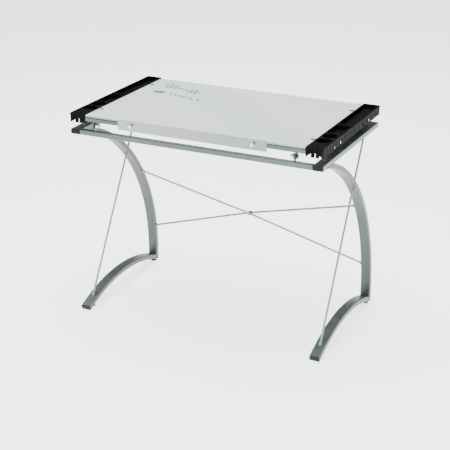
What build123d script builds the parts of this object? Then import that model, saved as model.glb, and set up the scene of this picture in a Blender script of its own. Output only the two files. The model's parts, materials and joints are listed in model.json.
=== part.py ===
"""Glass-top drafting table on curved tube legs, with a tilting top, side trays and a pencil ledge.

Millimetres. +Z is up from the floor, +X is the drafter's right and -Y is the drafter's side.
Most pieces are made on the right (+X) side and mirrored to the left.
"""
import os
from math import cos, radians, sin, sqrt

from build123d import *

# ---- driving dimensions ----
GLASS_W = 902.0
GLASS_D = 603.0
GLASS_T = 6.0
GLASS_TOP = 836.0
TRAY_W = 66.5
TRAY_GAP = 0.5
TRAY_TOP = 840.0
RAIL_TOP = 775.0  # upper face of the lower frame
ARC_RADIUS = 715.0  # centreline bend of every leg tube
TILT_MAX = 35.0

# ---- tube stock ----
LEG_W = 40.0
LEG_T = 20.0
LEG_WALL = 1.5
LEG_CORNER = 2.0
SIDE_RAIL_W = 40.0
RAIL_H = 20.0
RAIL_D = 20.0
RAIL_WALL = 1.5
RAIL_CORNER = 2.5
TOP_RAIL_D = 25.0
TOP_RAIL_H = 16.0
PAD_T = 2.0
GAP = 0.3  # least room between pieces that move past each other
FIT = 0.05  # radial clearance of a running fit

# ---- worked-out places ----
OUTER_X = GLASS_W / 2 + TRAY_GAP + TRAY_W
LEG_X = OUTER_X - SIDE_RAIL_W / 2
LEG_INNER_X = LEG_X - LEG_W / 2
RAIL_BOTTOM = RAIL_TOP - RAIL_H
FRAME_FRONT = -301.0
FRAME_REAR = 292.0
CAP_T = 4.0
GLASS_BOTTOM = GLASS_TOP - GLASS_T
TOP_RAIL_TOP = GLASS_BOTTOM - PAD_T
TOP_RAIL_BOTTOM = TOP_RAIL_TOP - TOP_RAIL_H
TOP_RAIL_EDGE = GLASS_D / 2 - 0.5
TOP_RAIL_MID_Z = (TOP_RAIL_TOP + TOP_RAIL_BOTTOM) / 2
SIDE_TUBE_X = GLASS_W / 2 - TOP_RAIL_D / 2

UPPER_ARC_Y = -430.0
UPPER_ARC_Z = 70.0
LOWER_ARC_Y = 12.0
LOWER_ARC_Z = -643.0
LOWER_ARC_HALF = 23.8  # degrees from its crown to the front foot
UPPER_ARC_FOOT = -4.4  # degrees from level to the rear foot
ARC_OUTER = ARC_RADIUS + LEG_T / 2
ARC_INNER = ARC_RADIUS - LEG_T / 2

HINGE_Y = -290.0
HINGE_Z = 796.0
ACROSS = (1, 0, 0)


def block(x, y, z):
    """Box between three (low, high) pairs."""
    size = [high - low for low, high in (x, y, z)]
    return Pos(x[0], y[0], z[0]) * Box(*size, align=(Align.MIN,) * 3)


def bar(start, end, radius):
    """Round bar between two points."""
    run = Vector(*end) - Vector(*start)
    ends = (Align.CENTER, Align.CENTER, Align.MIN)
    return Plane(origin=start, z_dir=run) * Cylinder(radius, run.length, align=ends)


def bar_x(low_x, high_x, y, z, radius):
    return bar((low_x, y, z), (high_x, y, z), radius)


def bar_y(x, low_y, high_y, z, radius):
    return bar((x, low_y, z), (x, high_y, z), radius)


def bar_z(x, y, low_z, high_z, radius):
    return bar((x, y, low_z), (x, y, high_z), radius)


def to_left(part):
    return mirror(part, about=Plane.YZ)


def pair(part):
    """The piece and its mirror image, as separate solids of one node."""
    return group([part, to_left(part)])


def group(pieces):
    """Separate solids of one node."""
    return Compound([solid for piece in pieces for solid in piece.solids()])


def tube_section(width, height, wall, corner):
    inner = RectangleRounded(width - 2 * wall, height - 2 * wall, corner - wall)
    return RectangleRounded(width, height, corner) - inner


def rail_along_x(low_x, high_x, mid_y, mid_z, depth, height):
    plane = Plane(origin=(low_x, mid_y, mid_z), x_dir=(0, 1, 0), z_dir=(1, 0, 0))
    section = tube_section(depth, height, RAIL_WALL, RAIL_CORNER)
    return extrude(plane * section, amount=high_x - low_x)


def rail_along_y(mid_x, low_y, high_y, mid_z, width, height):
    plane = Plane(origin=(mid_x, low_y, mid_z), x_dir=(1, 0, 0), z_dir=(0, 1, 0))
    section = tube_section(width, height, RAIL_WALL, RAIL_CORNER)
    return extrude(plane * section, amount=high_y - low_y)


def bent(section, centre_y, centre_z, from_deg, to_deg):
    """Sweep a section along the leg bend. Degrees run from +Y towards +Z."""
    start = radians(from_deg)
    origin = (LEG_X, centre_y + ARC_RADIUS * cos(start), centre_z + ARC_RADIUS * sin(start))
    plane = Plane(origin=origin, x_dir=ACROSS, z_dir=(0, -sin(start), cos(start)))
    return revolve(plane * section, Axis((0, centre_y, centre_z), ACROSS), to_deg - from_deg)


def leg_roller(centre_y, centre_z, radius):
    """Solid cylinder across the leg, used to trim pieces to a bend's face."""
    return bar_x(LEG_X - LEG_W, LEG_X + LEG_W, centre_y, centre_z, radius)


# ---- rods: their lines are shared by the rods and the holes they pass through ----
ROD_R = 4.0
ROD_HOLE_R = 4.1
SIDE_ROD_FOOT = (LEG_X, -223.0, 43.0)
SIDE_ROD_HEAD = (LEG_X, 184.0, RAIL_BOTTOM)
ROD_ENTRY = 6.0  # length of rod hidden inside a tube


def along(start, end, distance):
    """Point at a distance beyond start, seen from end."""
    away = (Vector(*start) - Vector(*end)).normalized()
    return tuple(Vector(*start) + away * distance)


SIDE_ROD_LOW = along(SIDE_ROD_FOOT, SIDE_ROD_HEAD, ROD_ENTRY)
SIDE_ROD_HIGH = along(SIDE_ROD_HEAD, SIDE_ROD_FOOT, ROD_ENTRY)
BRACE_MID_Y = 222.0
BRACE_MID_Z = 331.0
BRACE_SPREAD = 4.4
BRACE_TOP_Z = 462.0
BRACE_LOW_Z = 174.0


def arc_mid_y(z):
    """Depth of the upper arc's centreline at a height."""
    return UPPER_ARC_Y + sqrt(ARC_RADIUS**2 - (z - UPPER_ARC_Z) ** 2)


BRACE_TOP_END = (LEG_INNER_X, arc_mid_y(BRACE_TOP_Z), BRACE_TOP_Z)
BRACE_LOW_END = (LEG_INNER_X, arc_mid_y(BRACE_LOW_Z), BRACE_LOW_Z)

# ---- leg bolts, glides ----
LEG_BOLT_YS = (-236.0, -209.0)
LEG_BOLT_R = 3.0
LEG_HEAD_R = 5.0
LEG_BOLT_REACH = 24.0
GLIDE_FRONT_Y = LOWER_ARC_Y - 247.0
GLIDE_REAR_Y = UPPER_ARC_Y + ARC_RADIUS * cos(radians(UPPER_ARC_FOOT))
GLIDE_STEM_R = 3.0
GLIDE_STEM_TOP = 24.0
GLIDE_FOOT_R = 12.5
GLIDE_FOOT_H = 5.0
GLIDE_NUT_LOW = 8.0


def leg_outline(shrink, corner):
    """The leg tube's outline made smaller all round, with its corners broken."""
    outline = Rectangle(LEG_W - shrink, LEG_T - shrink)
    return chamfer(outline.vertices(), corner)


TUBE_SOLID = leg_outline(0, LEG_CORNER)
TUBE = TUBE_SOLID - leg_outline(2 * LEG_WALL, LEG_CORNER / 2)
TUBE_PLUG = leg_outline(2 * LEG_WALL + 0.2, LEG_CORNER / 2)
CROWN = 90.0


def upper_arc():
    """Rear leg tube: bends from under the side rail down to its own foot on the floor."""
    tube = bent(TUBE, UPPER_ARC_Y, UPPER_ARC_Z, UPPER_ARC_FOOT, 78.0)
    tube -= block((LEG_X - LEG_W, LEG_X + LEG_W), (-320, -100), (RAIL_BOTTOM, RAIL_TOP + 60))
    tube -= bar(SIDE_ROD_LOW, SIDE_ROD_HIGH, ROD_R + 1.0)
    for end in (BRACE_TOP_END, BRACE_LOW_END):
        tube -= bar_x(end[0] - 2, end[0] + 2 * ROD_ENTRY, end[1], end[2], ROD_R + 1.0)
    for y in LEG_BOLT_YS:
        tube -= bar_z(LEG_X, y, RAIL_BOTTOM - LEG_BOLT_REACH - 1, RAIL_BOTTOM + 1, LEG_BOLT_R + 0.1)
    return tube.solids().sort_by(SortBy.VOLUME)[-1]


def lower_arc():
    """Foot tube: a shallow arch from the front foot to the front face of the rear leg tube."""
    tube = bent(TUBE, LOWER_ARC_Y, LOWER_ARC_Z, CROWN - LOWER_ARC_HALF, CROWN + LOWER_ARC_HALF)
    tube &= leg_roller(UPPER_ARC_Y, UPPER_ARC_Z, ARC_INNER)
    tube -= bar(SIDE_ROD_LOW, SIDE_ROD_HEAD, ROD_HOLE_R)
    return tube - bar_z(LEG_X, GLIDE_FRONT_Y, 0, GLIDE_STEM_TOP + 2, GLIDE_STEM_R + 1.0)


def foot_cap(centre_y, centre_z, end_deg, outward):
    """Moulded plug in the end of a leg tube; outward is +1 or -1 along its bend."""
    plate = bent(TUBE_SOLID, centre_y, centre_z, end_deg, end_deg + outward * 0.36)
    return plate + bent(TUBE_PLUG, centre_y, centre_z, end_deg, end_deg - outward * 0.9)


def front_foot_cap():
    return foot_cap(LOWER_ARC_Y, LOWER_ARC_Z, CROWN + LOWER_ARC_HALF, 1)


def rear_foot_cap():
    """Plug that also takes the stem of the rear glide."""
    cap = foot_cap(UPPER_ARC_Y, UPPER_ARC_Z, UPPER_ARC_FOOT, -1)
    return cap - bar_z(LEG_X, GLIDE_REAR_Y, 0, GLIDE_STEM_TOP + 8, GLIDE_STEM_R + FIT)


def glide(y):
    foot = bar_z(LEG_X, y, 0, GLIDE_FOOT_H, GLIDE_FOOT_R)
    foot = fillet(foot.edges().filter_by(GeomType.CIRCLE), 1.2)
    return foot + bar_z(LEG_X, y, GLIDE_FOOT_H, GLIDE_STEM_TOP, GLIDE_STEM_R)


def glide_nut():
    """Hex nut welded under the foot tube."""
    nut = Pos(LEG_X, GLIDE_FRONT_Y, GLIDE_NUT_LOW) * extrude(RegularPolygon(8, 6), amount=14)
    nut = nut & leg_roller(LOWER_ARC_Y, LOWER_ARC_Z, ARC_INNER)
    return nut - bar_z(LEG_X, GLIDE_FRONT_Y, 0, GLIDE_STEM_TOP + 2, GLIDE_STEM_R + FIT)


def leg_bolt(y):
    """Bolt through the side rail into the leg, with its head flush in the rail's top wall."""
    seat = RAIL_TOP - RAIL_WALL
    bolt = bar_z(LEG_X, y, seat, RAIL_TOP, LEG_HEAD_R)
    bolt += bar_z(LEG_X, y, RAIL_BOTTOM - LEG_BOLT_REACH, seat, LEG_BOLT_R)
    socket = Pos(LEG_X, y, RAIL_TOP - 1) * extrude(RegularPolygon(2.2, 6), amount=2)
    return bolt - socket


# ---- lower frame ----
RAIL_MID_Z = RAIL_TOP - RAIL_H / 2
FRONT_RAIL_Y = FRAME_FRONT + 1.0 + RAIL_D / 2
REAR_RAIL_Y = FRAME_REAR - RAIL_D / 2
RACK_X = (LEG_INNER_X - 4.0, LEG_INNER_X)
RACK_SCREW_YS = (145.0, 262.0)
RACK_SCREW_Z = 764.0


def side_rail():
    low_y, high_y = FRAME_FRONT + CAP_T, FRAME_REAR - CAP_T
    rail = rail_along_y(LEG_X, low_y, high_y, RAIL_MID_Z, SIDE_RAIL_W, RAIL_H)
    rail -= bar(SIDE_ROD_FOOT, SIDE_ROD_HIGH, ROD_HOLE_R)
    for y in LEG_BOLT_YS:
        rail -= bar_z(LEG_X, y, RAIL_BOTTOM - 1, RAIL_TOP - RAIL_WALL, LEG_BOLT_R + 0.1)
        rail -= bar_z(LEG_X, y, RAIL_TOP - RAIL_WALL - 1, RAIL_TOP + 1, LEG_HEAD_R + 0.1)
    for y in RACK_SCREW_YS:
        rail -= bar_x(LEG_INNER_X - 1, LEG_INNER_X + 8, y, RACK_SCREW_Z, 2.1)
    return rail


def rail_cap(end_y, outward):
    """Moulded plug in one end of a side rail; outward is +1 to the rear, -1 to the front."""
    plane = Plane(origin=(LEG_X, end_y, RAIL_MID_Z), x_dir=ACROSS, z_dir=(0, outward, 0))
    plate = extrude(plane * RectangleRounded(SIDE_RAIL_W, RAIL_H, RAIL_CORNER), amount=CAP_T)
    plate = fillet(plate.faces().sort_by(Axis.Y)[-1 if outward > 0 else 0].edges(), 1.0)
    room = 2 * RAIL_WALL + 0.2
    plug = RectangleRounded(SIDE_RAIL_W - room, RAIL_H - room, RAIL_CORNER - RAIL_WALL)
    return plate + extrude(plane * plug, amount=-12)


def cross_rail(mid_y):
    """Rail between the two side rails of the lower frame."""
    return rail_along_x(-LEG_INNER_X, LEG_INNER_X, mid_y, RAIL_MID_Z, RAIL_D, RAIL_H)


def rod_ferrule(near, far, keep):
    """Short sleeve round a side rod where it enters a tube."""
    low = along(near, far, 2.0)
    high = along(near, far, -9.0)
    return (bar(low, high, 6.5) - bar(along(near, far, 4.0), far, ROD_R)) - keep


def side_rod_ferrules():
    above_rail = block((LEG_X - 20, LEG_X + 20), (150, 220), (RAIL_BOTTOM, RAIL_TOP))
    arc = leg_roller(LOWER_ARC_Y, LOWER_ARC_Z, ARC_OUTER)
    return [
        rod_ferrule(SIDE_ROD_HEAD, SIDE_ROD_FOOT, above_rail),
        rod_ferrule(SIDE_ROD_FOOT, SIDE_ROD_HEAD, arc),
    ]


def brace_line(spread):
    """Upper left end, raised middle and lower right end of one brace rod."""
    middle = (0, BRACE_MID_Y + spread, BRACE_MID_Z)
    high = (-BRACE_TOP_END[0], BRACE_TOP_END[1], BRACE_TOP_END[2])
    return along(high, middle, ROD_ENTRY), middle, along(BRACE_LOW_END, middle, ROD_ENTRY)


def brace_rod(spread):
    high, middle, low = brace_line(spread)
    return bar(high, middle, ROD_R) + Pos(*middle) * Sphere(ROD_R) + bar(middle, low, ROD_R)


def brace_clip(rods):
    y = (BRACE_MID_Y - 10, BRACE_MID_Y + 10)
    clip = block((-6, 6), y, (BRACE_MID_Z - 7, BRACE_MID_Z + 7))
    clip = fillet(clip.edges().filter_by(Axis.Y), 2.5)
    for rod in rods:
        clip -= rod
    return clip


def brace_collars(spread):
    """Collars where one brace rod meets the legs, trimmed flush to the tube's inner face."""
    high, middle, low = brace_line(spread)
    inside = block((-LEG_INNER_X, LEG_INNER_X), (0, 400), (0, 600))
    collars = []
    for end in (high, low):
        sleeve = bar(end, along(end, middle, -2 * ROD_ENTRY - 2), 6.5) & inside
        collars.append(sleeve - bar(end, middle, ROD_R))
    return collars


# ---- front hinge: post on the lower frame, lug under the top ----
HINGE_PIN_R = 4.0
POST_X = (406.0, 410.0)
HINGE_WASHER_X = (POST_X[1], POST_X[1] + 1.3)
HINGE_WASHER_R = 12.0
LUG_X = (HINGE_WASHER_X[1] + GAP, HINGE_WASHER_X[1] + GAP + 4.0)
HINGE_HEAD_X = (LUG_X[1] + GAP, LUG_X[1] + GAP + 4.5)
CONE_NUT_X = (POST_X[0] - 16.0, POST_X[0])


def hinge_post():
    plate = block(POST_X, (HINGE_Y - 7, HINGE_Y + 7), (RAIL_TOP, HINGE_Z))
    plate += bar_x(*POST_X, HINGE_Y, HINGE_Z, 7)
    return plate - bar_x(*POST_X, HINGE_Y, HINGE_Z, HINGE_PIN_R)


def hinge_lug():
    plate = block(LUG_X, (HINGE_Y - 10, HINGE_Y + 10), (HINGE_Z, TOP_RAIL_BOTTOM))
    plate += bar_x(*LUG_X, HINGE_Y, HINGE_Z, 10)
    return plate - bar_x(LUG_X[0] - 1, LUG_X[1] + 1, HINGE_Y, HINGE_Z, HINGE_PIN_R + FIT)


def hinge_bolt():
    head = Plane(origin=(HINGE_HEAD_X[0], HINGE_Y, HINGE_Z), z_dir=ACROSS)
    head = extrude(head * RegularPolygon(7.5, 6), amount=HINGE_HEAD_X[1] - HINGE_HEAD_X[0])
    return head + bar_x(POST_X[0] - 6, HINGE_HEAD_X[0], HINGE_Y, HINGE_Z, HINGE_PIN_R)


def hinge_washer():
    washer = bar_x(*HINGE_WASHER_X, HINGE_Y, HINGE_Z, HINGE_WASHER_R)
    return washer - bar_x(*HINGE_WASHER_X, HINGE_Y, HINGE_Z, HINGE_PIN_R)


def hinge_cone_nut():
    length = CONE_NUT_X[1] - CONE_NUT_X[0]
    seat = Plane(origin=(CONE_NUT_X[1], HINGE_Y, HINGE_Z), z_dir=(-1, 0, 0))
    cone = seat * Cone(11.0, 2.5, length, align=(Align.CENTER, Align.CENTER, Align.MIN))
    return cone - bar_x(POST_X[0] - 6, POST_X[0] + 1, HINGE_Y, HINGE_Z, HINGE_PIN_R)


# ---- prop that holds the tilt: arm length equals the hinge-to-pivot distance ----
PROP_REACH = 272.0
PROP_DROP = 7.0
PROP_PIVOT_Y = HINGE_Y + sqrt(PROP_REACH**2 - PROP_DROP**2)
PROP_PIVOT_Z = HINGE_Z + PROP_DROP
PROP_TIP_Y = 2 * PROP_PIVOT_Y - HINGE_Y
PROP_TIP_Z = HINGE_Z
PROP_PIN_R = 3.0
PROP_BAR_R = 4.0
BRACKET_X = (SIDE_TUBE_X - TOP_RAIL_D / 2 - 3.0, SIDE_TUBE_X - TOP_RAIL_D / 2)
ARM_X = (BRACKET_X[0] - GAP - 4.0, BRACKET_X[0] - GAP)
PROP_HEAD_X = (ARM_X[0] - GAP - 3.0, ARM_X[0] - GAP)
CROSSBAR_END = LEG_INNER_X + 4.0
NOTCH_TILTS = (0.0, 12.0, 20.0, 26.0, 31.0, TILT_MAX)
NOTCH_R = 5.5
RACK_TOP = PROP_TIP_Z - PROP_BAR_R - 1.0
RACK_Y = (132.0, 270.0)


def prop_bracket():
    y, z = PROP_PIVOT_Y, PROP_PIVOT_Z
    plate = block(BRACKET_X, (y - 9, y + 9), (z, TOP_RAIL_TOP - 2)) + bar_x(*BRACKET_X, y, z, 9)
    return plate - bar_x(*BRACKET_X, y, z, PROP_PIN_R)


def prop_pin():
    y, z = PROP_PIVOT_Y, PROP_PIVOT_Z
    return bar_x(*PROP_HEAD_X, y, z, 6.5) + bar_x(PROP_HEAD_X[1], BRACKET_X[1], y, z, PROP_PIN_R)


def prop_arm():
    run = Vector(0, PROP_TIP_Y - PROP_PIVOT_Y, PROP_TIP_Z - PROP_PIVOT_Z)
    middle = (ARM_X[0], (PROP_PIVOT_Y + PROP_TIP_Y) / 2, (PROP_PIVOT_Z + PROP_TIP_Z) / 2)
    plane = Plane(origin=middle, x_dir=run, z_dir=ACROSS)
    arm = extrude(plane * Rectangle(run.length, 12), amount=ARM_X[1] - ARM_X[0])
    arm += bar_x(*ARM_X, PROP_PIVOT_Y, PROP_PIVOT_Z, 7.5) + bar_x(*ARM_X, PROP_TIP_Y, PROP_TIP_Z, 8)
    arm -= bar_x(*ARM_X, PROP_PIVOT_Y, PROP_PIVOT_Z, PROP_PIN_R + FIT)
    return arm - bar_x(*ARM_X, PROP_TIP_Y, PROP_TIP_Z, PROP_BAR_R)


def tip_travel_y(tilt):
    """Depth of the prop's crossbar when the top is tilted; its height never changes."""
    sine = PROP_DROP / PROP_REACH
    rest_cos = sqrt(1 - sine**2)
    turn = radians(tilt)
    return HINGE_Y + 2 * PROP_REACH * (cos(turn) * rest_cos - sin(turn) * sine)


def prop_rack():
    """Notched plate on the inside of a side rail."""
    rack = block(RACK_X, RACK_Y, (RAIL_BOTTOM + 2, RACK_TOP))
    for tilt in NOTCH_TILTS:
        rack -= bar_x(*RACK_X, tip_travel_y(tilt), RACK_TOP, NOTCH_R)
    for y in RACK_SCREW_YS:
        rack -= bar_x(*RACK_X, y, RACK_SCREW_Z, 2.1)
    return rack


def rack_screw(y):
    head = bar_x(RACK_X[0] - 2.5, RACK_X[0], y, RACK_SCREW_Z, 4)
    return head + bar_x(RACK_X[0], RACK_X[1] + 6, y, RACK_SCREW_Z, 2)


REST_X = 400.0
REST_Y = 281.0
BUMPER_LOW = 804.0


def rest_post():
    return bar_z(REST_X, REST_Y, RAIL_TOP, BUMPER_LOW, 5)


def rest_bumper():
    pad = bar_z(REST_X, REST_Y, BUMPER_LOW, TOP_RAIL_BOTTOM - GAP, 8)
    return fillet(pad.edges().group_by(Axis.Z)[-1], 1.5)


# ---- top: glass, tubes under it ----
GLASS_SCREW_X = SIDE_TUBE_X
GLASS_SCREW_Y = 200.0
GLASS_CAP_R = 9.0
GLASS_CAP_T = 2.0
TOP_CROSS_Y = 190.0
LEDGE_SCREW_X = 250.0
LEDGE_SCREW_Z = 819.5
LEDGE_SCREW_R = 2.0
TRAY_SCREW_Z = 816.5
TRAY_SCREW_YS = (60.0, 245.0)
INNER_FACE_X = GLASS_W / 2 - TOP_RAIL_D


def glass_screw_spots():
    return [(sx * GLASS_SCREW_X, sy * GLASS_SCREW_Y) for sx in (-1, 1) for sy in (-1, 1)]


def glass_plate():
    outline = RectangleRounded(GLASS_W, GLASS_D, 5)
    plate = Pos(0, 0, GLASS_BOTTOM) * extrude(outline, amount=GLASS_T)
    rims = plate.edges().group_by(Axis.Z)
    plate = chamfer(rims[0] + rims[-1], 0.8)
    for x, y in glass_screw_spots():
        plate -= bar_z(x, y, GLASS_BOTTOM, GLASS_TOP, 3.5)
        plate -= bar_z(x, y, GLASS_TOP - GLASS_CAP_T, GLASS_TOP, GLASS_CAP_R + 0.1)
    return plate


def glass_screw(x, y):
    """Screw through the glass, with its cap let in flush."""
    cap = bar_z(x, y, GLASS_TOP - GLASS_CAP_T, GLASS_TOP, GLASS_CAP_R)
    cap = fillet(cap.edges().group_by(Axis.Z)[-1], 0.4)
    return cap + bar_z(x, y, TOP_RAIL_TOP - 6, GLASS_TOP - GLASS_CAP_T, 2.5)


def glass_pads():
    z = (TOP_RAIL_TOP, GLASS_BOTTOM)
    pads = [bar_z(x, y, *z, 8) - bar_z(x, y, *z, 2.5) for x, y in glass_screw_spots()]
    mid_y = TOP_RAIL_EDGE - TOP_RAIL_D / 2
    for y in (-mid_y, mid_y):
        pads.append(block((-430, 430), (y - 4, y + 4), z))
    return pads


def top_end_rail(side):
    """Front (-1) or rear (+1) tube under the glass."""
    mid_y = side * (TOP_RAIL_EDGE - TOP_RAIL_D / 2)
    rail = rail_along_x(-GLASS_W / 2, GLASS_W / 2, mid_y, TOP_RAIL_MID_Z, TOP_RAIL_D, TOP_RAIL_H)
    if side < 0:
        for x in (-LEDGE_SCREW_X, LEDGE_SCREW_X):
            rail -= bar_y(x, -TOP_RAIL_EDGE - 1, -280, LEDGE_SCREW_Z, LEDGE_SCREW_R + FIT)
    return rail


def top_side_rail():
    reach = TOP_RAIL_EDGE - TOP_RAIL_D
    rail = rail_along_y(SIDE_TUBE_X, -reach, reach, TOP_RAIL_MID_Z, TOP_RAIL_D, TOP_RAIL_H)
    for y in (-GLASS_SCREW_Y, GLASS_SCREW_Y):
        rail -= bar_z(GLASS_SCREW_X, y, TOP_RAIL_TOP - 7, TOP_RAIL_TOP + 1, 2.6)
    for y in TRAY_SCREW_YS:
        for end in (-y, y):
            rail -= bar_x(GLASS_W / 2 - 8, GLASS_W / 2 + 1, end, TRAY_SCREW_Z, 1.6)
    return rail


# ---- moulded side trays ----
TRAY_IN = GLASS_W / 2 + TRAY_GAP
LIP_W = 9.0
LIP_H = 8.4
TRAY_WALL = 2.0
SKIRT_X = (OUTER_X - TRAY_WALL - 2.0, OUTER_X - 2.0)
SKIRT_LOW = 803.0
DECK_LOW = TRAY_TOP - 2.5
POCKET_X = (TRAY_IN + 4.5, SKIRT_X[0] - TRAY_WALL)
POCKET_FLOOR = 822.0
TRAY_BREAK = 1.0
TRAY_END = 303.0
TRAY_MID_X = (TRAY_IN + SKIRT_X[0] + TRAY_WALL) / 2
CUP_R = 28.5
CUP_FLOOR = 808.0
CUP_YS = (-211.0, -149.0)
FRONT_POCKET_LOW_Y = -113.0
PEN_TUBE_R = 5.2
PEN_TUBE_LOW = 801.0
PEN_TUBES = ((TRAY_MID_X - 9, -292.0), (TRAY_MID_X + 9, -292.0))
PEN_HOLE_R = 4.0
PEN_HOLE_LOW = 818.0
PEN_HOLES = tuple((TRAY_MID_X + dx, y) for y in (-274.0, -254.0) for dx in (-17, 0, 17))
WINDOW_PITCH = (120.0, 180.0)
WINDOW_W = 10.0
WINDOW_H = 12.0
WINDOW_Z = 812.5


def socket_shell(x, y, radius, low):
    """Closed-bottom round socket that hangs from the deck, and the hole to cut in it."""
    shell = bar_z(x, y, low, DECK_LOW, radius + 1.4)
    shell = fillet(shell.edges().group_by(Axis.Z)[0], 1.2)
    return shell, bar_z(x, y, low + TRAY_WALL, TRAY_TOP + 2, radius)


def pocket_shell(y_low, y_high):
    """Rectangular compartment that hangs from the deck, and the space to cut in it."""
    space = block(POCKET_X, (y_low, y_high), (POCKET_FLOOR, TRAY_TOP + 2))
    space = fillet(space.edges().filter_by(Axis.Z), 4)
    space = fillet(space.edges().group_by(Axis.Z)[0], 1.5)
    x = (POCKET_X[0] - TRAY_WALL, POCKET_X[1] + TRAY_WALL)
    shell = block(x, (y_low - TRAY_WALL, y_high + TRAY_WALL), (POCKET_FLOOR - TRAY_WALL, DECK_LOW))
    return shell, space


def tray_blank(front, rear):
    """Deck, skirts, end walls and rolled outer lip shared by both kinds of tray."""
    span = (front, rear)
    x = (TRAY_IN, SKIRT_X[1])
    body = block(x, span, (DECK_LOW, TRAY_TOP))
    body += block((TRAY_IN, TRAY_IN + TRAY_WALL), span, (SKIRT_LOW, DECK_LOW))
    body += block(SKIRT_X, span, (SKIRT_LOW, DECK_LOW))
    for y in (front, rear - TRAY_WALL):
        body += block(x, (y, y + TRAY_WALL), (SKIRT_LOW + 4, DECK_LOW))
    lip_mid = (OUTER_X - LIP_W / 2, front, TRAY_TOP - LIP_H / 2)
    lip = Plane(origin=lip_mid, x_dir=ACROSS, z_dir=(0, 1, 0)) * RectangleRounded(LIP_W, LIP_H, 3.6)
    body += extrude(lip, amount=rear - front)
    rib = front + 15
    while rib < rear - 10:
        body += block((SKIRT_X[1], SKIRT_X[1] + 1), (rib - 1, rib + 1), (SKIRT_LOW, TRAY_TOP - 6))
        rib += 30
    return body


def open_skirt(body, front, rear):
    """Arched end openings, windows in the outer skirt and screw holes in the inner one."""
    for y in (front, rear - TRAY_WALL):
        body -= bar_y(TRAY_MID_X, y - 1, y + TRAY_WALL + 1, SKIRT_LOW - 8, 25)
        opening_x = (TRAY_MID_X - 24, TRAY_MID_X + 24)
        body -= block(opening_x, (y - 1, y + TRAY_WALL + 1), (SKIRT_LOW, SKIRT_LOW + 9))
    for pitch in WINDOW_PITCH:
        corner = (SKIRT_X[0] - 1, front + pitch, WINDOW_Z)
        window = Plane(origin=corner, x_dir=(0, 1, 0), z_dir=ACROSS)
        window = window * RectangleRounded(WINDOW_W, WINDOW_H, 2)
        body -= extrude(window, amount=TRAY_WALL + 3)
    for y in TRAY_SCREW_YS:
        place = y if front > 0 else -y
        body -= bar_x(TRAY_IN - 1, TRAY_IN + TRAY_WALL + 1, place, TRAY_SCREW_Z, 1.6)
    return body


def hang(body, shells):
    """Add hanging shells to a tray, then cut their spaces through the deck."""
    for shell, _ in shells:
        body += shell
    for _, space in shells:
        body -= space
    return body


def front_tray():
    front, rear = -TRAY_END, -TRAY_BREAK
    body = open_skirt(tray_blank(front, rear), front, rear)
    shells = [socket_shell(TRAY_MID_X, y, CUP_R, CUP_FLOOR - TRAY_WALL) for y in CUP_YS]
    shells += [socket_shell(x, y, PEN_TUBE_R, PEN_TUBE_LOW) for x, y in PEN_TUBES]
    shells += [socket_shell(x, y, PEN_HOLE_R, PEN_HOLE_LOW) for x, y in PEN_HOLES]
    shells.append(pocket_shell(FRONT_POCKET_LOW_Y, rear - 6))
    return hang(body, shells)


def rear_tray():
    front, rear = TRAY_BREAK, TRAY_END
    body = open_skirt(tray_blank(front, rear), front, rear)
    brow = block((TRAY_IN, SKIRT_X[1]), (front, front + 5), (TRAY_TOP, TRAY_TOP + 1.6))
    body += fillet(brow.edges().group_by(Axis.Z)[-1], 1.0)
    body = hang(body, [pocket_shell(front + 8, rear - 6)])
    for y in range(40, 300, 30):
        body += block(POCKET_X, (y - 1, y + 1), (POCKET_FLOOR - 0.5, POCKET_FLOOR + 0.8))
    return body


def tray_screw(y):
    head = bar_x(TRAY_IN + TRAY_WALL, TRAY_IN + TRAY_WALL + 2, y, TRAY_SCREW_Z, 3.2)
    return head + bar_x(GLASS_W / 2 - 6, TRAY_IN + TRAY_WALL, y, TRAY_SCREW_Z, 1.5)


# ---- pencil ledge and its thumb screws ----
LEDGE_HALF = 305.0
LEDGE_Y = (-GLASS_D / 2 - 2.5, -GLASS_D / 2 - 0.5)
LEDGE_Z = (799.0, 839.0)
LEDGE_LEAN = 38.0
LEDGE_TRAVEL = 11.5  # down the slots from the position shown
LEDGE_RAISE = 5.5  # up the slots
LEDGE_SLOT_W = 5.0
KNOB_R = 8.0


def pencil_ledge():
    plane = Plane(origin=(0, LEDGE_Y[1], sum(LEDGE_Z) / 2), x_dir=ACROSS, z_dir=(0, -1, 0))
    sheet = extrude(plane * Rectangle(2 * LEDGE_HALF, LEDGE_Z[1] - LEDGE_Z[0]), amount=2)
    corners = sheet.edges().filter_by(Axis.Y).group_by(Axis.Z)
    sheet = fillet(corners[-1], 6)
    sheet = fillet(sheet.edges().filter_by(Axis.Y).group_by(Axis.Z)[0], 2)
    lean = radians(LEDGE_LEAN)
    for x in (-LEDGE_SCREW_X, LEDGE_SCREW_X):
        offset = (LEDGE_TRAVEL - LEDGE_RAISE) / 2
        middle = (x + offset * sin(lean), LEDGE_Y[1] + 1, LEDGE_SCREW_Z + offset * cos(lean))
        plane = Plane(origin=middle, x_dir=(sin(lean), 0, cos(lean)), z_dir=(0, -1, 0))
        slot = plane * SlotCenterToCenter(LEDGE_TRAVEL + LEDGE_RAISE, LEDGE_SLOT_W)
        sheet -= extrude(slot, amount=4)
    return sheet


def ledge_screw():
    x, z = LEDGE_SCREW_X, LEDGE_SCREW_Z
    back = LEDGE_Y[0] - GAP
    knob = bar_y(x, back - 7.5, back, z, KNOB_R)
    knob = fillet(knob.edges().group_by(Axis.Y)[0], 1.2)
    for turn in range(0, 360, 30):
        spoke = radians(turn)
        knob -= bar_y(x + KNOB_R * cos(spoke), back - 9, back - 1.5, z + KNOB_R * sin(spoke), 0.7)
    return knob + bar_y(x, back, -286, z, LEDGE_SCREW_R)


def both_sides(name, part):
    return {f"{name}_right": part, f"{name}_left": to_left(part)}


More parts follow.
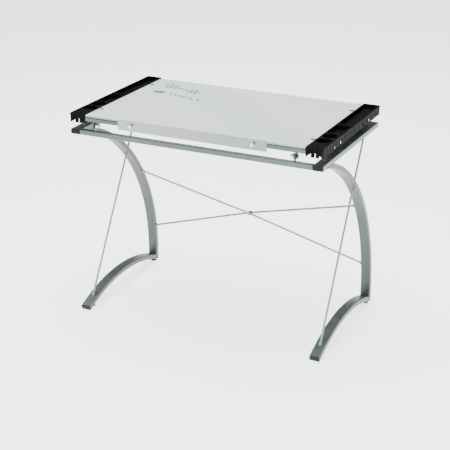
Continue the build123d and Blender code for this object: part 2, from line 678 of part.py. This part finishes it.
def build():
    nodes = {}
    nodes |= both_sides("leg_upper_arc", upper_arc())
    nodes |= both_sides("leg_lower_arc", lower_arc())
    nodes |= both_sides("front_foot_cap", front_foot_cap())
    nodes |= both_sides("rear_foot_cap", rear_foot_cap())
    nodes |= both_sides("front_glide", glide(GLIDE_FRONT_Y))
    nodes |= both_sides("rear_glide", glide(GLIDE_REAR_Y))
    nodes["glide_nuts"] = pair(glide_nut())
    nodes["leg_bolts"] = group([pair(leg_bolt(y)) for y in LEG_BOLT_YS])

    nodes |= both_sides("side_rail", side_rail())
    front_cap = rail_cap(FRAME_FRONT + CAP_T, -1)
    rear_cap = rail_cap(FRAME_REAR - CAP_T, 1)
    nodes["side_rail_end_caps"] = group([pair(front_cap), pair(rear_cap)])
    nodes["lower_front_rail"] = cross_rail(FRONT_RAIL_Y)
    nodes["lower_rear_rail"] = cross_rail(REAR_RAIL_Y)

    nodes |= both_sides("side_tension_rod", bar(SIDE_ROD_LOW, SIDE_ROD_HIGH, ROD_R))
    nodes["side_rod_ferrules"] = group([pair(piece) for piece in side_rod_ferrules()])
    rods = [brace_rod(-BRACE_SPREAD), to_left(brace_rod(BRACE_SPREAD))]
    nodes["cross_brace_rod_front"], nodes["cross_brace_rod_rear"] = rods
    nodes["cross_brace_clip"] = brace_clip(rods)
    collars = brace_collars(-BRACE_SPREAD) + [to_left(one) for one in brace_collars(BRACE_SPREAD)]
    nodes["cross_brace_collars"] = group(collars)

    nodes |= both_sides("hinge_post", hinge_post())
    nodes["hinge_bolts"] = pair(hinge_bolt())
    nodes["hinge_washers"] = pair(hinge_washer())
    nodes["hinge_cone_nuts"] = pair(hinge_cone_nut())
    nodes["hinge_lugs"] = pair(hinge_lug())
    nodes |= both_sides("prop_rack", prop_rack())
    nodes["rack_screws"] = group([pair(rack_screw(y)) for y in RACK_SCREW_YS])
    nodes["rest_posts"] = pair(rest_post())
    nodes["rest_bumpers"] = pair(rest_bumper())

    nodes["glass_top"] = glass_plate()
    nodes["glass_screws"] = group([glass_screw(x, y) for x, y in glass_screw_spots()])
    nodes["glass_pads"] = group(glass_pads())
    nodes["top_front_rail"] = top_end_rail(-1)
    nodes["top_rear_rail"] = top_end_rail(1)
    nodes |= both_sides("top_side_rail", top_side_rail())
    nodes["top_cross_rail"] = rail_along_x(
        -INNER_FACE_X, INNER_FACE_X, TOP_CROSS_Y, TOP_RAIL_MID_Z, TOP_RAIL_D, TOP_RAIL_H
    )
    nodes |= both_sides("front_tray", front_tray())
    nodes |= both_sides("rear_tray", rear_tray())
    screw_ys = [side * y for y in TRAY_SCREW_YS for side in (-1, 1)]
    nodes["tray_screws"] = group([pair(tray_screw(y)) for y in screw_ys])

    nodes["prop_brackets"] = pair(prop_bracket())
    nodes["prop_pins"] = pair(prop_pin())
    nodes |= both_sides("prop_arm", prop_arm())
    nodes["prop_crossbar"] = bar_x(-CROSSBAR_END, CROSSBAR_END, PROP_TIP_Y, PROP_TIP_Z, PROP_BAR_R)

    nodes["pencil_ledge"] = pencil_ledge()
    nodes |= both_sides("ledge_screw", ledge_screw())
    return nodes


if __name__ == "__main__":
    os.makedirs("parts", exist_ok=True)
    table = build()
    box = Compound([solid for part in table.values() for solid in part.solids()]).bounding_box()
    to_centre = Location((0, -(box.min.Y + box.max.Y) / 2, 0))
    for name, part in table.items():
        export_step(part.moved(to_centre), f"parts/{name}.step")
    print(len(table), "nodes; moved along Y by", to_centre.position.Y)
    print("box", box.min, box.max)
    print("prop pivot", PROP_PIVOT_Y, PROP_PIVOT_Z, "tip", PROP_TIP_Y, PROP_TIP_Z)
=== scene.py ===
"""Studio scene of a glass-top drafting table. Metres; +Z up, +X the drafter's right, -Y the drafter."""

import json
import math

import bpy
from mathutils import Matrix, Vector


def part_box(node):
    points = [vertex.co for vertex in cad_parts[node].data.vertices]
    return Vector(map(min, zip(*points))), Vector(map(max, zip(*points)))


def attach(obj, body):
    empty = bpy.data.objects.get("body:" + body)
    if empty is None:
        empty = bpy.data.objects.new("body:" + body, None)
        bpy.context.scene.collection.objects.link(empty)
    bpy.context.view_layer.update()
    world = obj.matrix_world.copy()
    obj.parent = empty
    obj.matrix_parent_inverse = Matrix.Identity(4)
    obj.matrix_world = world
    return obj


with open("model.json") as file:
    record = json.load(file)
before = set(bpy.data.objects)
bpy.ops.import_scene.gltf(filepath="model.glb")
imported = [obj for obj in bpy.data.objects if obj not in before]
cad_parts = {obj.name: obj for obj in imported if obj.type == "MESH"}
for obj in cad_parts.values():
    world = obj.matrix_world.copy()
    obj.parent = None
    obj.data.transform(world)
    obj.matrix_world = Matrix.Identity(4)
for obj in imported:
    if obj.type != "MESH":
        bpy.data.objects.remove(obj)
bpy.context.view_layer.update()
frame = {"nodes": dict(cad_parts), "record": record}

Y_SHIFT = 0.0044  # the CAD's own shift along Y, which centres its box


# ---- node helpers ----
def colour(code):
    """Linear RGBA from a hex code."""
    parts = [int(code[i : i + 2], 16) / 255 for i in (0, 2, 4)]
    linear = [p / 12.92 if p <= 0.04045 else ((p + 0.055) / 1.055) ** 2.4 for p in parts]
    return (*linear, 1.0)


class Surface:
    """A material under construction: a Principled shader and the nodes that feed it."""

    def __init__(self, name):
        self.material = bpy.data.materials.new(name)
        self.material.use_nodes = True
        self.tree = self.material.node_tree
        self.shader = self.tree.nodes["Principled BSDF"]
        self.place = self.add("ShaderNodeTexCoord").outputs["Object"]
        self.geometry = self.add("ShaderNodeNewGeometry")

    def put(self, socket, value):
        if isinstance(value, bpy.types.NodeSocket):
            self.tree.links.new(value, socket)
        else:
            socket.default_value = value

    def add(self, kind, settings=None, **inputs):
        made = self.tree.nodes.new(kind)
        for key, value in (settings or {}).items():
            setattr(made, key, value)
        for key, value in inputs.items():
            self.put(made.inputs[key.replace("_", " ")], value)
        return made

    def set(self, **inputs):
        for key, value in inputs.items():
            self.put(self.shader.inputs[key.replace("_", " ")], value)

    def stretch(self, scale):
        mapping = self.add("ShaderNodeMapping", Vector=self.place)
        mapping.inputs["Scale"].default_value = scale
        return mapping.outputs["Vector"]

    def noise(self, scale, detail=3.0, rough=0.55, place=None):
        made = self.add("ShaderNodeTexNoise", Scale=scale, Detail=detail, Roughness=rough)
        self.put(made.inputs["Vector"], self.place if place is None else place)
        return made.outputs["Fac"]

    def span(self, value, low, high, to_low=0.0, to_high=1.0):
        """Clamped linear map of a value from one span to another."""
        made = self.add("ShaderNodeMapRange", {"clamp": True}, Value=value)
        for key, number in (("From Min", low), ("From Max", high), ("To Min", to_low), ("To Max", to_high)):
            made.inputs[key].default_value = number
        return made.outputs["Result"]

    def math(self, operation, a, b=0.0):
        made = self.add("ShaderNodeMath", {"operation": operation})
        self.put(made.inputs[0], a)
        self.put(made.inputs[1], b)
        return made.outputs[0]

    def mix(self, factor, a, b, blend="MIX"):
        made = self.add("ShaderNodeMix", {"data_type": "RGBA", "blend_type": blend})
        self.put(made.inputs[0], factor)
        self.put(made.inputs[6], a)
        self.put(made.inputs[7], b)
        return made.outputs[2]

    def bevel(self, radius):
        made = self.add("ShaderNodeBevel", {"samples": 6})
        made.inputs["Radius"].default_value = radius
        return made.outputs["Normal"]

    def edges(self, radius):
        """1 on sharp edges, 0 on flats."""
        turned = self.add("ShaderNodeVectorMath", {"operation": "DOT_PRODUCT"})
        self.put(turned.inputs[0], self.bevel(radius))
        self.put(turned.inputs[1], self.geometry.outputs["True Normal"])
        return self.span(turned.outputs["Value"], 0.995, 0.86)

    def bump(self, height, strength, distance, normal):
        made = self.add("ShaderNodeBump", Height=height, Normal=normal)
        made.inputs["Strength"].default_value = strength
        made.inputs["Distance"].default_value = distance
        return made.outputs["Normal"]

    def facing(self, axis):
        """How much the surface faces along an axis, -1 to 1."""
        parts = self.add("ShaderNodeSeparateXYZ", Vector=self.geometry.outputs["Normal"])
        return parts.outputs[axis]

    def position(self, axis):
        parts = self.add("ShaderNodeSeparateXYZ", Vector=self.place)
        return parts.outputs[axis]


def finish(
    name,
    tones,
    metallic,
    roughness,
    edge_wear_and_sheen_tone=None,
    edge_radius=0.0012,
    edge_wear_and_sheen_amount=0.5,
    grain=(1, 1, 1),
    grain_scale=900.0,
    grain_depth=0.00004,
    grain_strength=0.35,
    broad_scale=7.0,
    coat=0.0,
    coat_roughness=0.25,
    dust=0.0,
    dust_tone="c9cdca",
    specular=0.5,
):
    """Finish with broad tone drift, fine grain, smudged roughness, settled dust, and sharp edges lightened
    towards an edge tone: real paint wear on the painted parts, painted sheen on the moulded tray.
    """
    s = Surface(name)
    along = s.stretch(grain)
    broad = s.noise(broad_scale, 4.0)
    fine = s.noise(grain_scale, 2.0, place=along)
    smudge = s.noise(38.0, 5.0, 0.65)
    base = s.mix(s.span(broad, 0.35, 0.65), colour(tones[0]), colour(tones[1]))
    base = s.mix(s.span(fine, 0.3, 0.7, 0.0, 0.16), base, colour(tones[2]))
    wear = s.math("ADD", s.math("MULTIPLY", smudge, 0.6), s.math("MULTIPLY", fine, 0.4))
    rough = s.span(wear, 0.34, 0.66, *roughness)
    # Sharp edges lightened towards the edge tone: real paint wear on the painted parts, painted sheen on the
    # moulded tray.
    if edge_wear_and_sheen_tone:
        edge_wear_and_sheen = s.math("MULTIPLY", s.edges(edge_radius), s.span(s.noise(120.0, 4.0), 0.38, 0.62, 0.25, 1.0))
        base = s.mix(s.math("MULTIPLY", edge_wear_and_sheen, edge_wear_and_sheen_amount), base, colour(edge_wear_and_sheen_tone))
    if dust:
        up = s.span(s.facing("Z"), 0.55, 1.0)
        settled = s.math("MULTIPLY", up, s.span(s.noise(22.0, 6.0, 0.7), 0.42, 0.72))
        base = s.mix(s.math("MULTIPLY", settled, dust), base, colour(dust_tone))
        rough = s.math("ADD", rough, s.math("MULTIPLY", settled, dust * 0.4))
    rounded = s.bevel(edge_radius)
    normal = s.bump(smudge, 0.12, 0.0002, rounded)
    normal = s.bump(fine, grain_strength, grain_depth, normal)
    s.set(Base_Color=base, Metallic=metallic, Roughness=rough, Normal=normal)
    s.set(Coat_Weight=coat, Coat_Roughness=coat_roughness, Specular_IOR_Level=specular)
    return s.material


# ---- finishes ----
def frosted_glass():
    """Sand-blasted work surface with clear green edges, paler towards their arrises as painted highlight, and
    a soft darker diagonal band of painted shade.
    """
    s = Surface("frosted_glass")
    broad = s.noise(2.6, 3.0, place=s.stretch((1.0, 0.45, 1.0)))
    # Painted shade: a soft darker band across the top, along the line X + 1.3 Y = 0.02.
    sweep = s.math("ADD", s.position("X"), s.math("MULTIPLY", s.position("Y"), 1.3))
    painted_shade_band = s.math("ABSOLUTE", s.math("SUBTRACT", sweep, 0.02))
    painted_shade_band = s.span(s.math("ADD", painted_shade_band, s.math("MULTIPLY", broad, 0.18)), 0.02, 0.34, 1.0, 0.0)
    face = s.mix(s.math("MULTIPLY", painted_shade_band, 0.55), colour("e6f0ee"), colour("c8d6d3"))
    speck = s.noise(1400.0, 2.0)
    face = s.mix(s.span(speck, 0.35, 0.65, 0.0, 0.10), face, colour("ffffff"))
    wiped = s.noise(9.0, 6.0, 0.7, place=s.stretch((1.0, 2.6, 1.0)))
    face = s.mix(s.span(wiped, 0.45, 0.75, 0.0, 0.16), face, colour("c9d4d2"))
    side = s.span(s.facing("Z"), 0.35, 0.9, 1.0, 0.0)
    # The edge faces' green is the glass's own; their paler tone towards top and bottom, darker at
    # mid-thickness, is painted highlight.
    arris_highlight = s.span(s.math("ABSOLUTE", s.math("SUBTRACT", s.position("Z"), 0.833)), 0.0, 0.0028)
    green_edge_and_highlight = s.mix(arris_highlight, colour("3f5a4b"), colour("9fbfae"))
    base = s.mix(side, face, green_edge_and_highlight)
    grain = s.bump(speck, 0.25, 0.00003, s.bevel(0.0012))
    rough = s.span(wiped, 0.35, 0.7, 0.34, 0.48)
    s.set(Base_Color=base, Roughness=rough, Normal=grain, IOR=1.52, Transmission_Weight=0.12)
    s.set(Subsurface_Weight=0.18, Subsurface_Radius=(0.01, 0.012, 0.011), Subsurface_Scale=0.4)
    s.set(Coat_Weight=0.35, Coat_Roughness=0.12)
    return s.material


def brushed_ledge():
    """Sheet aluminium, brushed lengthwise, with painted light: lighter at the drafter's left end, and painted
    highlights on its edges.
    """
    s = Surface("brushed_ledge")
    strokes = s.noise(60.0, 6.0, 0.7, place=s.stretch((0.25, 30.0, 30.0)))
    hairs = s.noise(220.0, 3.0, 0.6, place=s.stretch((0.12, 12.0, 12.0)))
    # Painted light: the sheet lightens towards the drafter's left end (-X).
    tone = s.mix(s.span(s.position("X"), -0.3, 0.3), colour("a4aaa7"), colour("858d8a"))
    tone = s.mix(s.span(strokes, 0.3, 0.7, 0.0, 0.5), tone, colour("646c69"))
    tone = s.mix(s.span(hairs, 0.62, 0.8, 0.0, 0.6), tone, colour("eef1ef"))
    # Painted highlight: sharp edges lightened towards white.
    tone = s.mix(s.math("MULTIPLY", s.edges(0.0008), 0.6), tone, colour("f2f4f3"))
    print_marks = s.noise(14.0, 5.0, 0.7)
    rough = s.math("ADD", s.span(strokes, 0.3, 0.7, 0.26, 0.42), s.span(print_marks, 0.5, 0.8, 0.0, 0.12))
    normal = s.bump(strokes, 0.35, 0.00004, s.bevel(0.0008))
    normal = s.bump(hairs, 0.25, 0.00003, normal)
    s.set(Base_Color=tone, Metallic=0.85, Roughness=rough, Normal=normal, Anisotropic=0.5)
    return s.material


def turned_zinc():
    """Bright plated hardware with fine turning rings about X, a few dull spots and painted highlights on its
    edges.
    """
    s = Surface("turned_zinc")
    rings = s.noise(700.0, 2.0, place=s.stretch((4.0, 0.3, 0.3)))
    dull = s.noise(160.0, 5.0, 0.7)
    tone = s.mix(s.span(dull, 0.4, 0.7), colour("d4d8d6"), colour("a9aeab"))
    # Painted highlight: sharp edges lightened towards white.
    tone = s.mix(s.math("MULTIPLY", s.edges(0.0006), 0.5), tone, colour("f4f5f4"))
    rough = s.span(dull, 0.35, 0.7, 0.18, 0.4)
    normal = s.bump(rings, 0.4, 0.00004, s.bevel(0.0005))
    s.set(Base_Color=tone, Metallic=1.0, Roughness=rough, Normal=normal)
    return s.material


def marker_ink():
    """Wet-wipe marker: streaky, thin at the stroke's edges."""
    s = Surface("marker_ink")
    streak = s.noise(260.0, 4.0, 0.7)
    tone = s.mix(s.span(streak, 0.35, 0.7), colour("007d8c"), colour("0aa6b2"))
    rough = s.span(streak, 0.3, 0.7, 0.3, 0.55)
    normal = s.bump(streak, 0.3, 0.00005, s.bevel(0.0004))
    s.set(Base_Color=tone, Roughness=rough, Normal=normal, Specular_IOR_Level=0.2)
    return s.material


FINISHES = {
    "leg_paint": finish(
        "satin_leg_paint", ("343d39", "414b46", "646e69"), 0.3, (0.34, 0.46), "98a29d",
        edge_radius=0.0022, coat=0.08, dust=0.05, grain_scale=1300.0, grain_depth=0.00005,
    ),
    "frame_paint": finish(
        "satin_frame_paint", ("454f4a", "545f5a", "7c8782"), 0.6, (0.30, 0.42), "b0b9b5",
        edge_radius=0.0016, coat=0.12, dust=0.05, grain_scale=1300.0, grain_depth=0.00005,
    ),
    "black_cap": finish(
        "moulded_cap", ("050706", "0b0e0d", "1a1f1d"), 0.0, (0.42, 0.58), "3a413f",
        edge_radius=0.0010, edge_wear_and_sheen_amount=0.3, dust=0.05, specular=0.15,
        grain_scale=1600.0, grain_depth=0.00008,
    ),
    # The tray's lighter edge tone is painted sheen along its moulded edges.
    "tray_plastic": finish(
        "moulded_tray", ("020303", "040605", "0c0e0d"), 0.0, (0.5, 0.62), "4a514f",
        edge_radius=0.0012, edge_wear_and_sheen_amount=0.4, specular=0.05,
        grain_scale=1500.0, grain_depth=0.00007,
    ),
    "zinc": turned_zinc(),
    "dark_steel": finish(
        "oxide_steel", ("2b2e2d", "3a3d3c", "565a58"), 0.8, (0.3, 0.5), "9a9f9c",
        edge_radius=0.0006, grain_scale=1100.0,
    ),
    "rod_steel": finish(
        "drawn_rod", ("7c8380", "8b928f", "6a706d"), 0.5, (0.28, 0.42), "b5bbb8",
        edge_radius=0.0006, grain=(3, 3, 0.15), grain_scale=700.0, coat=0.15,
    ),
    "glass": frosted_glass(),
    "rubber": finish(
        "rubber", ("101211", "191c1b", "2c302e"), 0.0, (0.62, 0.8), "3c403e",
        edge_radius=0.001, dust=0.2, grain_scale=1000.0, grain_depth=0.0001,
    ),
    "ledge_metal": brushed_ledge(),
}


def paint_nodes():
    """Give every CAD node the finish of its material slot."""
    slots = {part["node"]: part["material_slot"] for part in frame["record"]["subparts"]}
    for name, piece in frame["nodes"].items():
        for slot in piece.material_slots:
            slot.material = FINISHES[slots[name]]


paint_nodes()


# ---- mesh helpers ----
def mesh_piece(name, verts, faces, material, body, smooth=True):
    data = bpy.data.meshes.new(name)
    data.from_pydata([tuple(v) for v in verts], [], faces)
    data.materials.append(material)
    for face in data.polygons:
        face.use_smooth = smooth
    data.update()
    piece = bpy.data.objects.new(name, data)
    bpy.context.scene.collection.objects.link(piece)
    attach(piece, body)
    return piece


def ribbon(path, half_width, low, high):
    """Flat-topped strip along a path in the XY plane, thinned at both ends."""
    verts, faces = [], []
    last = len(path) - 1
    for i, point in enumerate(path):
        ahead = path[min(i + 1, last)]
        behind = path[max(i - 1, 0)]
        run = (ahead - behind).normalized()
        side = Vector((-run.y, run.x, 0))
        width = half_width * min(1.0, 0.35 + 0.65 * min(i, last - i) / 8)
        for offset, z in ((-1, low), (-0.7, high), (0.7, high), (1, low)):
            spot = point + side * width * offset
            verts.append((spot.x, spot.y, z))
        if i:
            a, b = 4 * (i - 1), 4 * i
            faces += [(a + k, a + k + 1, b + k + 1, b + k) for k in range(3)]
            faces.append((a + 3, a, b, b + 3))
    faces.append((3, 2, 1, 0))
    end = 4 * last
    faces.append((end, end + 1, end + 2, end + 3))
    return verts, faces


GLASS_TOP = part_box("glass_top")[1][2]


def marker_strokes():
    """Loose marker strokes at the rear left of the glass: a zigzag, a filled coil and two waves."""
    ink = marker_ink()
    zigzag = []
    for i in range(97):
        t = i / 96
        swing = 0.030 * (0.55 + 0.45 * math.sin(9.1 * t)) * math.sin(2 * math.pi * 8.5 * t)
        zigzag.append(Vector((-0.385 + 0.185 * t, 0.222 - 0.055 * t + swing, 0)))
    coil = []
    for i in range(81):
        t = i / 80
        turn = 2 * math.pi * 4.5 * t
        size = 0.004 + 0.014 * t
        coil.append(Vector((-0.358 + 1.5 * size * math.cos(turn), 0.118 + size * math.sin(turn), 0)))
    waves = []
    for row, (start, length) in enumerate(((-0.315, 0.085), (-0.245, 0.115))):
        steps = 40
        waves.append([
            Vector((
                start + length * i / steps,
                0.118 - 0.022 * row - 0.03 * i / steps + 0.011 * math.sin(2 * math.pi * 3.2 * i / steps + row),
                0,
            ))
            for i in range(steps + 1)
        ])
    strokes = {
        "marker_zigzag": zigzag,
        "marker_coil": coil,
        "marker_wave_near": waves[0],
        "marker_wave_far": waves[1],
    }
    for name, path in strokes.items():
        verts, faces = ribbon(path, 0.0033, GLASS_TOP - 0.00005, GLASS_TOP + 0.00012)
        mesh_piece(name, verts, faces, ink, "tabletop")


marker_strokes()


# ---- studio ----
def studio_floor():
    """Pale floor that turns up a little far behind."""
    s = Surface("studio_floor")
    broad = s.noise(1.2, 3.0)
    s.set(Base_Color=s.mix(broad, colour("fafafa"), colour("fdfdfd")), Roughness=0.75)
    s.set(Emission_Color=colour("ffffff"), Emission_Strength=2.2)
    s.set(Normal=s.bump(s.noise(300.0, 3.0), 0.05, 0.0001, s.geometry.outputs["Normal"]))
    verts, faces = [], []
    steps = [(-9.0, 0.0), (9.0, 0.0)]
    steps += [(9.0 + math.sin(math.radians(a)), 1 - math.cos(math.radians(a))) for a in range(10, 91, 10)]
    for y, z in steps:
        verts += [(-25, y, z), (25, y, z)]
    faces = [(2 * i, 2 * i + 1, 2 * i + 3, 2 * i + 2) for i in range(len(steps) - 1)]
    data = bpy.data.meshes.new("studio_floor")
    data.from_pydata(verts, [], faces)
    data.materials.append(s.material)
    for face in data.polygons:
        face.use_smooth = True
    piece = bpy.data.objects.new("studio_floor", data)
    bpy.context.scene.collection.objects.link(piece)


def area_light(name, place, aim, size, power):
    data = bpy.data.lights.new(name, "AREA")
    data.shape = "RECTANGLE"
    data.size, data.size_y = size
    data.energy = power
    lamp = bpy.data.objects.new(name, data)
    lamp.location = place
    lamp.rotation_euler = (Vector(aim) - Vector(place)).to_track_quat("-Z", "Y").to_euler()
    bpy.context.scene.collection.objects.link(lamp)


def light_studio():
    world = bpy.data.worlds.new("studio")
    bpy.context.scene.world = world
    world.use_nodes = True
    world.node_tree.nodes["Background"].inputs["Color"].default_value = (0.97, 0.985, 1.0, 1)
    world.node_tree.nodes["Background"].inputs["Strength"].default_value = 0.3
    area_light("key", (0.6, -4.2, 1.9), (0, 0, 0.5), (3.4, 1.6), 190)
    area_light("side", (4.0, -0.6, 1.6), (0, 0, 0.5), (2.2, 2.0), 35)
    area_light("top", (-0.4, 0.4, 4.2), (0, 0, 0.0), (4.5, 4.0), 380)


CAMERA_AZIMUTH = math.radians(25.88)
CAMERA_HEIGHT_ANGLE = math.radians(19.77)
CAMERA_DISTANCE = 5.0763
CAMERA_TARGET = Vector((-0.1852, 0.3685 + Y_SHIFT, 0.4))


def place_camera():
    data = bpy.data.cameras.new("camera")
    data.lens = 94.28
    data.sensor_width = 36.0
    data.shift_y = -0.1
    data.clip_end = 50.0
    camera = bpy.data.objects.new("camera", data)
    level = math.cos(CAMERA_HEIGHT_ANGLE)
    away = Vector((
        math.sin(CAMERA_AZIMUTH) * level,
        -math.cos(CAMERA_AZIMUTH) * level,
        math.sin(CAMERA_HEIGHT_ANGLE),
    ))
    camera.location = CAMERA_TARGET + away * CAMERA_DISTANCE
    camera.rotation_euler = (-away).to_track_quat("-Z", "Y").to_euler()
    bpy.context.scene.collection.objects.link(camera)
    bpy.context.scene.camera = camera


studio_floor()
light_studio()
place_camera()
